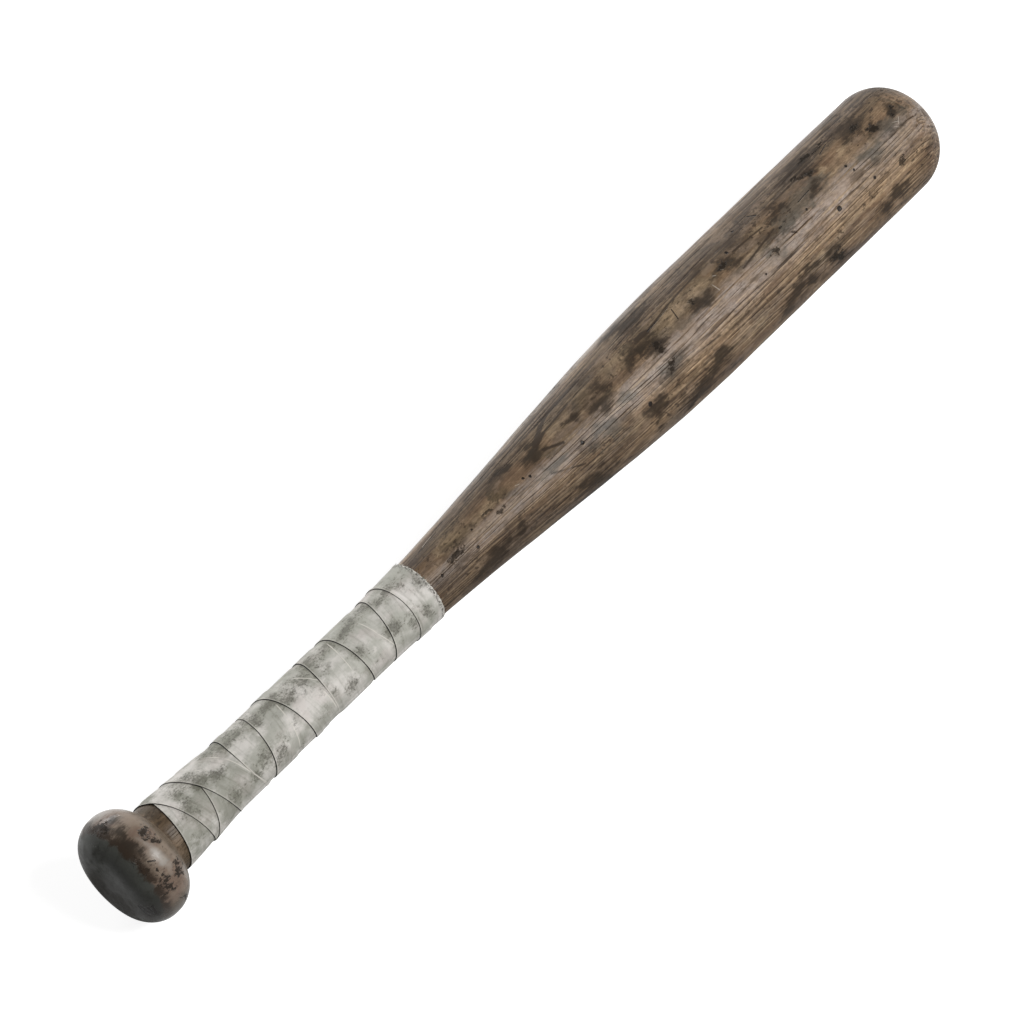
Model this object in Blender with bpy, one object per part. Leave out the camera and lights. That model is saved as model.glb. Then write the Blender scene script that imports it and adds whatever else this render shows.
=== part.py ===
"""A short wooden baseball bat, lying on its side, with cloth tape wound round its handle.

Metres, +Z up. The bat lies along X with its knob at -X, and the origin is under its middle, on the floor.
A station is a distance along the bat, measured from the knob's flat butt face.
"""

import math

import bmesh
import bpy
import numpy as np
from mathutils import Vector
from mathutils.bvhtree import BVHTree

# The turned billet
BAT_LENGTH = 0.610
KNOB_RADIUS = 0.0308
BUTT_ROUND = 0.0153  # radius of the knob's edge on the butt side
KNOB_LAND = 0.0012  # level strip between the knob's two rounded edges
SHOULDER_ROUND = 0.0155  # radius of the knob's edge on the handle side
ROOT_FILLET = 0.0020  # hollow between the knob's shoulder and the neck
HANDLE_RADIUS = 0.0156
NECK_FLARE = 0.0034  # how far the neck swells beyond the handle at the knob
NECK_LENGTH = 0.048  # over which that swelling dies out
TAPER_LENGTH = 0.257  # from the handle to the full barrel
BARREL_LENGTH = 0.177  # full barrel with its rounded end
BARREL_RADIUS = 0.0307
END_ROUND = 0.0248

# The wound tape
TAPE_WIDTH = 0.038
TAPE_THICKNESS = 0.0003
TAPE_SEAT = 0.0003  # clearance between the handle and the first layer
LAYER_GAP = 0.0005  # between a turn and the one that it laps
TAPED_LENGTH = 0.1885  # from the neck's root to the ring where the top turns are trimmed
LAP_REACH = 0.0030  # how far a turn stays level past the edge of the one below
LAP_FALL = 0.0200  # over which it then comes down a layer
FIRST_TURN_TUCK = 0.15  # of a turn, hidden under the second turn
LAST_TURN_END = 10.75  # turns from the left of the grip to the tape's cut end
START_REACH = 0.04  # of a turn, level over the tape's first end
START_FALL = 0.125  # of a turn, over which it then comes down a layer

# The tape was laid by hand, so its turns wander, and some slant back towards the knob. Each row is one turn:
# where its knob-side edge passes the upper left, the front and the lower right of the grip, from the
# neck's root, in percent of the taped length.
TAPE_TURNS = (
    (4.8, 2.7, 1.1),
    (1.3, 8.0, 11.9),
    (17.5, 15.1, 11.7),
    (10.3, 17.0, 22.5),
    (29.7, 27.3, 32.4),
    (39.0, 36.9, 34.7),
    (45.4, 48.5, 51.2),
    (61.3, 58.9, 59.9),
    (69.8, 71.6, 73.7),
    (86.2, 83.3, 81.2),
    (90.2, 91.5, 90.7),
)
QUARTER_TURNS = (0.0, 0.25, 0.5)  # from the upper left to the front and the lower right
LEFT_ANGLE = math.radians(26)  # of the upper left, from +Y towards +Z
CORNER_EASE = 0.10  # of a turn each way, over which the edge's changes of course are eased
EASE_SAMPLES = 9
LEAN_STEP = 0.05  # of a turn each way, to measure how the edge leans
TURNS_BELOW = 4  # a turn lies on this many earlier ones at most

# Facets
BAT_SIDES = 48
TURN_STEPS = 24
TAPE_COLUMNS = 8
ARC_STEPS = 10
FILLET_STEPS = 4
NECK_STEPS = 8
TAPER_STEPS = 18
SHARP_ANGLE = math.radians(30)
SAME_POINT = 1e-6

# The bat lies on a facet, so its sides are turned by half a facet.
HALF_FACET = math.pi / BAT_SIDES
AXIS_HEIGHT = max(KNOB_RADIUS, BARREL_RADIUS) * math.cos(HALF_FACET)


def clear_scene():
    for thing in list(bpy.data.objects):
        bpy.data.objects.remove(thing)


def make_material(name, colour, roughness):
    material = bpy.data.materials.new(name)
    material.use_nodes = True
    shader = material.node_tree.nodes["Principled BSDF"]
    shader.inputs["Base Color"].default_value = (*colour, 1.0)
    shader.inputs["Roughness"].default_value = roughness
    shader.inputs["Metallic"].default_value = 0.0
    return material


def make_object(name, mesh, material):
    mesh.materials.append(material)
    mesh.shade_smooth()
    mesh.set_sharp_from_angle(angle=SHARP_ANGLE)
    thing = bpy.data.objects.new(name, mesh)
    bpy.context.scene.collection.objects.link(thing)
    return thing


def ease(share):
    """Rises from 0 to 1 as share does, level at both ends."""
    share = min(max(share, 0.0), 1.0)
    return share * share * (3 - 2 * share)


def arc(centre, radius, start, end, steps):
    """(station, radius) points of an arc. Angles are in radians, from the station axis."""
    angles = [start + (end - start) * i / steps for i in range(steps + 1)]
    return [(centre[0] + radius * math.cos(a), centre[1] + radius * math.sin(a)) for a in angles]


def shoulder_centre():
    return BUTT_ROUND + KNOB_LAND, KNOB_RADIUS - SHOULDER_ROUND


def root_fillet_centre():
    """The fillet rolls between the knob's shoulder and the neck."""
    station, radius = shoulder_centre()
    height = HANDLE_RADIUS + NECK_FLARE + ROOT_FILLET
    reach = SHOULDER_ROUND + ROOT_FILLET
    return station + math.sqrt(reach**2 - (height - radius) ** 2), height


NECK_ROOT = root_fillet_centre()[0]
TAPER_END = BAT_LENGTH - BARREL_LENGTH
TAPER_START = TAPER_END - TAPER_LENGTH
TRIM_STATION = NECK_ROOT + TAPED_LENGTH


def handle_radius(station):
    """The wood's radius from the neck's root to the full barrel."""
    flare = NECK_FLARE * (1 - ease((station - NECK_ROOT) / NECK_LENGTH))
    taper = (BARREL_RADIUS - HANDLE_RADIUS) * ease((station - TAPER_START) / TAPER_LENGTH)
    return HANDLE_RADIUS + flare + taper


def bat_profile():
    """(station, radius) points from the middle of the butt face to the middle of the barrel's end."""
    shoulder, fillet = shoulder_centre(), root_fillet_centre()
    meet = math.atan2(fillet[1] - shoulder[1], fillet[0] - shoulder[0])
    butt = (BUTT_ROUND, KNOB_RADIUS - BUTT_ROUND)
    end = (BAT_LENGTH - END_ROUND, BARREL_RADIUS - END_ROUND)
    neck_end = NECK_ROOT + NECK_LENGTH
    neck = [NECK_ROOT + NECK_LENGTH * i / NECK_STEPS for i in range(1, NECK_STEPS)]
    taper = [TAPER_START + TAPER_LENGTH * i / TAPER_STEPS for i in range(TAPER_STEPS)]
    handle = sorted({*neck, neck_end, *(s for s in taper if s > neck_end)})
    return [
        (0.0, 0.0),
        *arc(butt, BUTT_ROUND, math.pi, math.pi / 2, ARC_STEPS),
        *arc(shoulder, SHOULDER_ROUND, math.pi / 2, meet, ARC_STEPS),
        *arc(fillet, ROOT_FILLET, math.pi + meet, 1.5 * math.pi, FILLET_STEPS)[1:],
        *((s, handle_radius(s)) for s in handle),
        (TAPER_END, BARREL_RADIUS),
        *arc(end, END_ROUND, math.pi / 2, 0.0, ARC_STEPS),
        (BAT_LENGTH, 0.0),
    ]


def place(station, radius, angle):
    """The point at this station and radius, its angle from +Y towards +Z."""
    return (
        station - BAT_LENGTH / 2,
        radius * math.cos(angle),
        AXIS_HEIGHT + radius * math.sin(angle),
    )


def make_bat():
    """The billet is turned in a lathe, so its profile is spun round the X axis."""
    mesh = bpy.data.meshes.new("bat_body")
    form = bmesh.new()
    points = [form.verts.new(place(s, r, HALF_FACET)) for s, r in bat_profile()]
    edges = [form.edges.new(pair) for pair in zip(points, points[1:])]
    bmesh.ops.spin(
        form,
        geom=[*points, *edges],
        cent=(0.0, 0.0, AXIS_HEIGHT),
        axis=(1.0, 0.0, 0.0),
        angle=2 * math.pi,
        steps=BAT_SIDES,
    )
    bmesh.ops.remove_doubles(form, verts=form.verts, dist=SAME_POINT)
    bmesh.ops.recalc_face_normals(form, faces=form.faces)
    form.to_mesh(mesh)
    form.free()
    return make_object("bat_body", mesh, make_material("weathered_ash", (0.17, 0.115, 0.075), 0.55))


def tape_edge(turn):
    """The station of the tape's knob-side edge, turn turns on from the upper left of the grip."""
    turns = [k + quarter for k in range(len(TAPE_TURNS)) for quarter in QUARTER_TURNS]
    percents = [percent for row in TAPE_TURNS for percent in row]
    near = turn + CORNER_EASE * np.linspace(-1, 1, EASE_SAMPLES)
    return NECK_ROOT + TAPED_LENGTH * float(np.interp(near, turns, percents).mean()) / 100


def tape_span(turn):
    """The stations of both edges. A turn that leans is wider along the bat, and the top ones are trimmed."""
    edge = tape_edge(turn)
    rise = tape_edge(turn + LEAN_STEP) - tape_edge(turn - LEAN_STEP)
    lean = rise / (2 * LEAN_STEP * 2 * math.pi * handle_radius(edge))
    return edge, min(edge + TAPE_WIDTH * math.hypot(1, lean), TRIM_STATION)


def held_up(beyond, reach, fall):
    """1 until a lapping turn is reach beyond an edge below it, then easing to 0 over fall."""
    return ease((reach + fall - beyond) / fall)


def covered(station, turn):
    """1 where the tape's turn lies under this station or close beside it, easing to 0 further off."""
    low, high = tape_span(turn)
    below = held_up(low - station, LAP_REACH, LAP_FALL)
    above = held_up(station - high, LAP_REACH, LAP_FALL)
    before = held_up(-FIRST_TURN_TUCK - turn, START_REACH, START_FALL)
    return below * above * before


def tape_ring(turn):
    """The tape's section at this turn: along its underside, and back along its outer side."""
    low, high = tape_span(turn)
    angle = LEFT_ANGLE + 2 * math.pi * turn
    chord_swell = 1 / math.cos(math.pi / TURN_STEPS)
    under, outer = [], []
    for column in range(TAPE_COLUMNS):
        station = low + (high - low) * column / (TAPE_COLUMNS - 1)
        layers = sum(covered(station, turn - back) for back in range(1, TURNS_BELOW + 1))
        height = TAPE_SEAT + layers * (TAPE_THICKNESS + LAYER_GAP)
        radius = (handle_radius(station) + height) * chord_swell
        under.append(place(station, radius, angle))
        outer.append(place(station, radius + TAPE_THICKNESS, angle))
    return [*under, *reversed(outer)]


def make_tape():
    """One unbroken ribbon, each turn lapped over the one before. It starts at the knob."""
    first, last = (round(turn * TURN_STEPS) for turn in (-FIRST_TURN_TUCK, LAST_TURN_END))
    rings = [tape_ring(step / TURN_STEPS) for step in range(first, last + 1)]
    size = 2 * TAPE_COLUMNS
    points = [point for ring in rings for point in ring]
    sides = [
        (i * size + j, i * size + (j + 1) % size, (i + 1) * size + (j + 1) % size, (i + 1) * size + j)
        for i in range(len(rings) - 1)
        for j in range(size)
    ]
    ends = [
        tuple(start + j for j in pair)
        for start in (0, (len(rings) - 1) * size)
        for pair in ((k, k + 1, size - 2 - k, size - 1 - k) for k in range(TAPE_COLUMNS - 1))
    ]
    mesh = bpy.data.meshes.new("grip_tape")
    mesh.from_pydata(points, [], [*sides, *ends])
    form = bmesh.new()
    form.from_mesh(mesh)
    bmesh.ops.recalc_face_normals(form, faces=form.faces)
    form.to_mesh(mesh)
    form.free()
    print(f"least gap of the tape to itself: {least_gap(points, sides, size) * 1000:.2f} mm")
    return make_object("grip_tape", mesh, make_material("cloth_tape", (0.50, 0.50, 0.46), 0.85))


def least_gap(points, sides, size):
    """From each point of the tape, and each middle of a face, to faces over half a turn before or after."""
    apart = (TURN_STEPS // 2 + 2) * size
    nearest = math.inf
    middles = [sum((Vector(points[i]) for i in side), Vector()) / len(side) for side in sides]
    for start in range(0, len(points), 2 * size):
        others = [side for side in sides if abs(side[0] - start) > apart]
        tree = BVHTree.FromPolygons(points, others)
        own = [*points[start : start + 2 * size], *middles[start : start + 2 * size]]
        nearest = min(nearest, *(tree.find_nearest(point)[3] for point in own))
    return nearest


clear_scene()
make_bat()
make_tape()
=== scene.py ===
"""The looks of a short wooden baseball bat on its side: worn wood, wound cloth tape and a pale studio.

Metres, +Z up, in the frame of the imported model, where the bat lies along X with its knob at -X.
A station is a distance along the bat from the knob's butt face. An angle goes round it from +Y towards +Z.
"""

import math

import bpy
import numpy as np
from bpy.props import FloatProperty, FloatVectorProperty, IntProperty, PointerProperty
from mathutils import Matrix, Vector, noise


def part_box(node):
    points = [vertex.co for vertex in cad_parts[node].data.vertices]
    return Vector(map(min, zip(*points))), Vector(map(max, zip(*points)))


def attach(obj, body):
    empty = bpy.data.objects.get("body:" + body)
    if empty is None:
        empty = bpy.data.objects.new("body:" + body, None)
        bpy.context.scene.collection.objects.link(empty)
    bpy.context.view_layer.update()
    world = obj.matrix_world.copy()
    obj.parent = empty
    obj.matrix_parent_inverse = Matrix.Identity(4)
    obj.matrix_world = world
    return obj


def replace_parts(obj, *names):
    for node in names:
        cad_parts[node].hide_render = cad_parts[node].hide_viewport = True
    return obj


bl_info = {
    "name": "Worn Taped Bat",
    "version": (1, 0, 0),
    "blender": (4, 5, 0),
    "location": "View3D > Sidebar > Bat",
    "description": "Dresses a wooden bat in worn wood and grubby cloth tape, on a pale floor",
    "category": "Add Mesh",
}

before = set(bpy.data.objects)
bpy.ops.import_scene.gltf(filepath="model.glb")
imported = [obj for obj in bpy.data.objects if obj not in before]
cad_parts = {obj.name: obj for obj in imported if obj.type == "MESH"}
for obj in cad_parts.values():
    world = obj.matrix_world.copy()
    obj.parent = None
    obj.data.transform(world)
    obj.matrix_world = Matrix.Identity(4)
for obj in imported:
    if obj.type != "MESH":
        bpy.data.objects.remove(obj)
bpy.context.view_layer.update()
BAT_LOW, BAT_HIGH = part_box("bat_body")
BAT_LENGTH = BAT_HIGH.x - BAT_LOW.x
AXIS_HEIGHT = (BAT_LOW.z + BAT_HIGH.z) / 2
MM = 0.001

# The turned billet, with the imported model's sizes
KNOB_RADIUS = 0.0308
BUTT_ROUND = 0.0153
KNOB_LAND = 0.0012
SHOULDER_ROUND = 0.0155
ROOT_FILLET = 0.0020
HANDLE_RADIUS = 0.0156
NECK_FLARE = 0.0034
NECK_LENGTH = 0.048
TAPER_LENGTH = 0.257
BARREL_LENGTH = 0.177
BARREL_RADIUS = 0.0307
END_ROUND = 0.0248
ROUND_FIT = AXIS_HEIGHT / KNOB_RADIUS  # the solid lies on a facet, and the round bat lies as low

# The wound tape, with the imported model's width and turns
TAPE_WIDTH = 0.038
TAPED_LENGTH = 0.1885
FIRST_TURN_TUCK = 0.15
LAST_TURN_END = 10.75
START_REACH = 0.04
START_FALL = 0.125
CORNER_EASE = 0.10
EASE_SAMPLES = 9
LEAN_STEP = 0.05
TURNS_BELOW = 4
LEFT_ANGLE = math.radians(26)
QUARTER_TURNS = (0.0, 0.25, 0.5)
# Where each turn's knob-side edge passes the upper left, front and lower right, in % of the taped length
TAPE_TURNS = (
    (4.8, 2.7, 1.1),
    (1.3, 8.0, 11.9),
    (17.5, 15.1, 11.7),
    (10.3, 17.0, 22.5),
    (29.7, 27.3, 32.4),
    (39.0, 36.9, 34.7),
    (45.4, 48.5, 51.2),
    (61.3, 58.9, 59.9),
    (69.8, 71.6, 73.7),
    (86.2, 83.3, 81.2),
    (90.2, 91.5, 90.7),
)
# How dark the line under each of those edges is at the same three places. At 0 and below there is none.
LAP_LINES = (
    (1.0, 1.0, 1.0),
    (1.0, 0.6, 1.0),
    (0.5, 0.8, 0.5),
    (0.7, 0.8, 1.0),
    (1.6, 0.7, -6.0),
    (0.5, 1.0, 1.0),
    (0.6, 1.0, 1.0),
    (1.6, 1.2, -6.0),
    (0.8, 1.0, 1.0),
    (0.7, 1.0, 1.0),
    (0.6, 0.9, 0.9),
)

# The cloth as it is really laid
CLOTH = 0.00034  # thickness
LAYER_RISE = 0.00042
SEAT = 0.00013
LAP_REACH = 0.0001
LAP_FALL = 0.0022
PRESSED = 0.9  # how far an edge without a line is worn down
PRESSED_WIDTH = 0.003

# Fineness of the meshes
WOOD_STEP = 0.0011
WOOD_SIDES = 144
TURN_STEPS = 96
TAPE_COLUMNS = 38
THREAD_SIDES = 5
THREAD_RINGS = 4
FLOOR_SIDES = 64
SHARP_EDGE = math.radians(35)

# Marks on the wood, each with its station in mm, its angle in degrees, and its length and width in mm
STAINS = (
    (566, 79, 22, 12), (533, 65.5, 32, 14), (497, 86, 15, 9), (455, 91.5, 24, 12), (429, 101, 20, 7),
    (389, 90.5, 26, 11), (397, 104, 17, 8), (359, 88, 18, 10), (351, 104, 15, 10), (259, 165, 28, 14),
    (375, 148, 15, 9), (330, 172, 26, 14), (401, 57, 26, 11), (16, 64, 8, 9), (9, 33, 8, 12),
    (422, 153, 12, 7), (415, 160, 14, 8), (407, 166, 12, 8), (400, 176, 14, 9), (490, 152, 14, 8),
    (482, 160, 14, 9), (473, 172, 16, 12), (559, 157, 14, 8), (551, 168, 14, 10), (507, 155, 10, 8),
    (496, 154, 8, 7), (477, 167, 8, 6), (257, 158, 16, 9), (249, 165, 14, 8), (331, 196, 30, 16),
    (318, 200, 30, 12), (392, 46, 16, 8), (293, 70, 14, 6), (308, 72, 10, 6), (336, 92, 10, 5),
    (308, 86, 16, 11), (382, 91, 20, 9), (391, 87, 10, 5), (375.5, 157, 9, 7), (358, 90, 10, 6),
    (349, 104, 12, 7), (401, 59, 12, 8), (320, 166, 18, 12), (328, 167, 14, 10), (416, 161, 14, 7),
    (407, 174, 30, 10), (271.5, 157, 12, 7), (279.5, 151, 9, 5), (500, 90, 14, 9), (490, 167, 12, 7),
    (11, 97, 9, 18), (12, 74, 8, 14), (9, 60, 7, 12), (12, 84, 6, 10), (561, 164, 20, 8),
    (521, 99, 11, 7), (453, 92, 13, 9), (571, 96, 12, 8), (535, 64, 15, 9), (511, 169, 13, 11),
    (568, 80, 14, 8), (529, 80, 12, 8), (587, 92, 10, 8),
)
SCARS = (
    (275, 111, 5, 4), (270, 102, 5, 3), (243.6, 110, 8, 5), (394, 124, 6, 5), (397, 103, 7, 4),
    (426, 94, 7, 4), (453, 92, 11, 6), (529, 83, 8, 4), (523, 76, 6, 4), (493, 101.5, 7, 2),
    (495, 113, 7, 2), (480, 116, 8, 4), (511, 169, 9, 8), (565, 78, 8, 6), (571, 96, 9, 5),
    (587, 94, 6, 4), (572, 136.5, 5, 5), (548, 66, 7, 4), (535, 64, 12, 6), (526.5, 83.5, 4, 4),
)
SMEARS = (
    (345, 129, 22, 12), (394, 124, 20, 11), (480, 116, 22, 11), (503, 97, 34, 14), (519, 94, 28, 13),
    (577, 104, 26, 15), (493, 106, 16, 8), (560, 112, 22, 8), (310, 118, 20, 8), (366, 118, 16, 8),
)
OCHRES = (
    (262, 96, 30, 10), (345, 84, 50, 14), (372, 84, 30, 10), (413, 89, 44, 12), (434, 91, 26, 9),
    (474, 96, 46, 13), (546, 100, 46, 15), (440, 158, 40, 10), (500, 155, 30, 8), (350, 150, 40, 8),
    (253, 84, 30, 12), (328, 96, 30, 11),
)
KNOB_MOTTLES = (
    (23.8, 101, 6, 12), (12.6, 149, 9, 12), (23.4, 147, 7, 7), (10, 60.5, 8, 14), (6.7, 119, 4, 10),
    (13, 130, 2, 4), (19.8, 179, 3, 8),
)
# Painted highlights on the knob's shoulders, listed as the marks above
KNOB_PAINTED_HIGHLIGHTS = (
    (18.5, 122, 6, 22), (17, 33, 22, 26), (27, 160, 6, 10),
)
WOOD_MARKS = {
    "stain": STAINS,
    "smear": SMEARS,
    "ochre": OCHRES,
    "mottle": KNOB_MOTTLES,
    "painted_highlight": KNOB_PAINTED_HIGHLIGHTS,
}
# Scratches, each from a station and angle to another, with its width in mm
DARK_SCRATCHES = (
    (399, 84, 408, 83, 0.5), (408, 83, 417, 81, 0.4), (417, 85, 415, 97, 0.5), (487, 68, 490, 75, 0.7),
    (12, 119, 15, 123, 0.7), (16, 172, 22, 181, 0.5), (0.3, 170, 2.1, 187, 1.5),
    (0.7, 168, 3.4, 182, 1.6), (3.4, 166, 4.6, 184, 1.4), (2.0, 168, 3.0, 176, 1.2),
    (242, 113, 245, 107, 0.4), (247, 112, 243, 109, 0.4), (232, 60, 246, 57, 0.5),
    (510, 96, 519, 95, 0.5), (541, 75, 548, 71, 0.6),
)
FLAME_LINES = (
    (445, 75.6, 418.5, 78.8, 1.0), (418.5, 78.8, 398.8, 83.9, 1.3), (398.8, 83.9, 391.8, 82, 3.0),
    (356.7, 63.5, 333.2, 62, 1.5), (333.2, 62, 324.2, 68.3, 2.0), (324.2, 68.3, 313.2, 82.3, 3.0),
    (341.2, 76, 321.4, 78.5, 1.3), (321.4, 78.5, 313.1, 84.8, 2.2), (323.7, 104.7, 314, 94, 1.8),
    (325.9, 141.5, 308, 121.9, 0.8), (534.3, 77.2, 499.2, 77.4, 1.1), (485.6, 89.5, 464.3, 86.1, 1.0),
    (488.9, 98.7, 460.9, 105.9, 1.0), (426.5, 137.1, 387.3, 129.8, 0.7),
)
PALE_SCRATCHES = (
    (442, 96, 442.6, 105, 0.35), (446, 90, 447.5, 92, 0.4), (452, 91, 453, 93, 0.4),
    (581, 104, 584, 107, 0.3), (583, 109, 586, 104, 0.3), (580, 108, 582, 112, 0.3),
    (236, 57, 243, 54, 0.35), (290, 101, 292, 103, 0.3),
)
# Round holes, each with its station, its angle and its width
PITS = (
    (331, 120, 2.2), (295.6, 101, 1.3), (298.9, 105.7, 1.6), (254, 127, 1.9), (372.7, 140, 2.6),
    (510, 107, 1.5), (468, 125, 1.3), (475, 68.5, 1.8), (462, 82, 1.8), (524.6, 128.5, 3.0),
    (552, 131, 2.0), (543.8, 103, 1.8), (545.5, 111, 1.5), (257.6, 101, 1.2), (230, 121, 1.6),
)
PIT_MOUTH = 1.3  # how much wider the dent is than the dark of each pit
# Smudges on the tape, as the marks on the wood
SMUDGES = (
    (50, 110, 14, 9), (64, 85, 14, 12), (52, 78, 10, 12), (106, 70, 14, 10), (95, 70, 12, 10),
    (98, 136, 12, 10), (104.5, 155, 10, 10), (128, 87, 12, 9), (138, 85, 10, 8), (149, 66, 12, 10),
    (144, 79.5, 10, 8), (162, 68.5, 12, 9), (146, 140, 8, 6), (157, 148, 10, 8), (172, 120, 10, 8),
    (192, 123, 12, 10), (89, 145, 10, 9), (73, 101, 12, 8), (73, 142, 12, 10), (81, 56, 12, 10),
    (196, 71, 9, 8), (190, 62.5, 10, 9), (181, 63, 10, 10), (159, 69, 9, 8), (210, 83, 8, 5),
    (219, 100, 6, 9), (212, 152, 7, 8), (203, 146, 8, 8), (120, 70, 30, 7), (60, 68, 26, 7),
    (88, 67, 26, 7), (148, 72, 26, 7), (176, 71, 24, 6), (204, 73, 18, 6),
)
# Painted highlights along the ridges in the tape over the edges of turns below, from a station and angle to
# another
TAPE_RIDGE_HIGHLIGHTS = (
    (181.6, 78, 184, 116), (184, 116, 188.4, 157), (163.8, 58, 161.8, 98), (161.8, 98, 161.3, 132),
    (120.8, 80, 119.3, 114), (119.3, 114, 116.8, 178), (82, 90, 86.9, 138), (86.9, 138, 92.6, 182),
    (142.8, 118, 144.4, 168), (136.5, 62, 145.8, 108), (76.7, 62, 81.0, 84),
)
FAR_SIDE = (23, 180)  # millimetres and degrees by which the side away from the camera repeats those marks

# The stations in mm where the wood's dirt, colours, painted shade and painted light change
BUTT_RIM = (0.8, 3.2)
BUTT_ENDS = (5.6, 7.6)
BAND_ENDS = (8.6, 12.4)
KNOB_ENDS = (26.0, 33.0)
NECK_SHADE = (24.0, 28.0, 50.0, 60.0)
GRIP_DARKENING_ENDS = (240.0, 430.0)
BARREL_STARTS = (380.0, 480.0)
# And on the knob, the heights above its axis in mm, where its painted shade and light change
BUTT_LOW = (-6.0, 13.0)
BUTT_TOP = (11.0, 17.0)
KNOB_UNDERSIDE = (-1.0, 9.0)
FIBRE_WANDER = 5.0  # mm by which the fibres stray sideways

# Where the tape is grubbier, as stations in mm, and where its flanks have painted shade, as angles round the
# bat
GRIP_FOOT = (60.0, 130.0)
FAR_FLANK_SHADE = tuple(math.radians(turn) for turn in (45, 66, 74, 100))
NEAR_FLANK_SHADE = (math.radians(140), math.radians(172))
WARP_STEP = 0.5  # mm from thread to thread along the tape
WEFT_STEP = 0.45  # and across it
SMUDGE_WANDER = 0.003  # how far a smudge's edge strays along the bat, in metres
SMUDGE_TURN = 0.15  # and round it, in radians

# Waves a metre of the noise that makes each unevenness
RAGGED_WAVES = 110.0
WEAR_WAVES = 60.0
CREASE_WAVES = 220.0
TEAR_WAVES = 900.0
SMUDGE_WAVES = 120.0

THREAD_SEED = 7

# Each lamp's lean towards the barrel's end, its angle round the bat in degrees, its distance and its size
LAMPS = {
    "key_lamp": (0.30, 126, 2.2, (0.9, 0.9)),
    "rim_lamp": (0.15, 9, 1.5, (1.6, 0.35)),
}


def ease(share):
    """Rises from 0 to 1 as share does, level at both ends."""
    share = np.clip(share, 0.0, 1.0)
    return share * share * (3 - 2 * share)


def arc(centre, radius, start, end, steps=40):
    """(station, radius) points of an arc. Angles are in radians, from the station axis."""
    angles = np.linspace(start, end, steps + 1)
    return np.column_stack((centre[0] + radius * np.cos(angles), centre[1] + radius * np.sin(angles)))


SHOULDER = (BUTT_ROUND + KNOB_LAND, KNOB_RADIUS - SHOULDER_ROUND)
FILLET_HEIGHT = HANDLE_RADIUS + NECK_FLARE + ROOT_FILLET
FILLET_REACH = math.sqrt((SHOULDER_ROUND + ROOT_FILLET) ** 2 - (FILLET_HEIGHT - SHOULDER[1]) ** 2)
NECK_ROOT = SHOULDER[0] + FILLET_REACH
TAPER_END = BAT_LENGTH - BARREL_LENGTH
TAPER_START = TAPER_END - TAPER_LENGTH
TRIM_STATION = NECK_ROOT + TAPED_LENGTH


def handle_radius(station):
    """The wood's radius from the neck's root to the full barrel."""
    flare = NECK_FLARE * (1 - ease((station - NECK_ROOT) / NECK_LENGTH))
    taper = (BARREL_RADIUS - HANDLE_RADIUS) * ease((station - TAPER_START) / TAPER_LENGTH)
    return HANDLE_RADIUS + flare + taper


def bat_profile():
    """Evenly spaced stations and radii, from the middle of the butt face to that of the barrel's end."""
    fillet = (NECK_ROOT, FILLET_HEIGHT)
    meet = math.atan2(fillet[1] - SHOULDER[1], fillet[0] - SHOULDER[0])
    handle = np.arange(NECK_ROOT + WOOD_STEP, TAPER_END, WOOD_STEP)
    drawn = np.vstack((
        [(0.0, 0.0)],
        arc((BUTT_ROUND, KNOB_RADIUS - BUTT_ROUND), BUTT_ROUND, math.pi, math.pi / 2),
        arc(SHOULDER, SHOULDER_ROUND, math.pi / 2, meet),
        arc(fillet, ROOT_FILLET, math.pi + meet, 1.5 * math.pi)[1:],
        np.column_stack((handle, handle_radius(handle))),
        arc((BAT_LENGTH - END_ROUND, BARREL_RADIUS - END_ROUND), END_ROUND, math.pi / 2, 0.0),
        [(BAT_LENGTH, 0.0)],
    ))
    reach = np.append(0.0, np.cumsum(np.hypot(*np.diff(drawn, axis=0).T)))
    even = np.linspace(0.0, reach[-1], round(reach[-1] / WOOD_STEP) + 1)
    return np.interp(even, reach, drawn[:, 0]), np.interp(even, reach, drawn[:, 1]) * ROUND_FIT


WOOD_STATIONS, WOOD_RADII = bat_profile()


def place(station, radius, angle):
    """Points at these stations and radii, their angles from +Y towards +Z."""
    across, height = radius * np.cos(angle), AXIS_HEIGHT + radius * np.sin(angle)
    return np.stack((BAT_LOW.x + station + 0 * across, across, height), axis=-1)


def waver(station, radius, angle, scale, depth=3):
    """Smooth noise at these points, about -1 to 1. scale is in waves a metre."""
    points = place(station, radius, angle)
    values = [noise.fractal(Vector(point) * scale, 1.0, 2.0, depth) for point in points.reshape(-1, 3)]
    return np.array(values).reshape(points.shape[:-1])


def patch_depth(station, angle, radius, marks):
    """How deep each point is in the nearest of these patches: 1 in the middle, 0 on the edge, -1 outside."""
    depth = np.full(np.broadcast(station, angle).shape, -1.0)
    far = [(at + FAR_SIDE[0], turn + FAR_SIDE[1], *size) for at, turn, *size in marks]
    for at, turn, length, width in (*marks, *far):
        along = (station - at * MM) / (length * MM / 2)
        away = (angle - math.radians(turn) + math.pi) % (2 * math.pi) - math.pi
        depth = np.maximum(depth, 1 - np.hypot(along, away * radius / (width * MM / 2)))
    return depth


def add_object(name, data):
    """A new object of the scene."""
    made = bpy.data.objects.new(name, data)
    bpy.context.scene.collection.objects.link(made)
    return made


def make_piece(name, points, faces, values, material):
    """A smooth mesh object on the bat's one body, which stores the numbers in values at its points."""
    mesh = bpy.data.meshes.new(name)
    mesh.from_pydata(points.reshape(-1, 3).tolist(), [], faces)
    for key, numbers in values.items():
        layer = mesh.attributes.new(key, "FLOAT", "POINT")
        layer.data.foreach_set("value", np.asarray(numbers, np.float32).ravel())
    mesh.materials.append(material)
    mesh.shade_smooth()
    mesh.set_sharp_from_angle(angle=SHARP_EDGE)
    piece = add_object(name, mesh)
    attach(piece, "root")
    return piece


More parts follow.
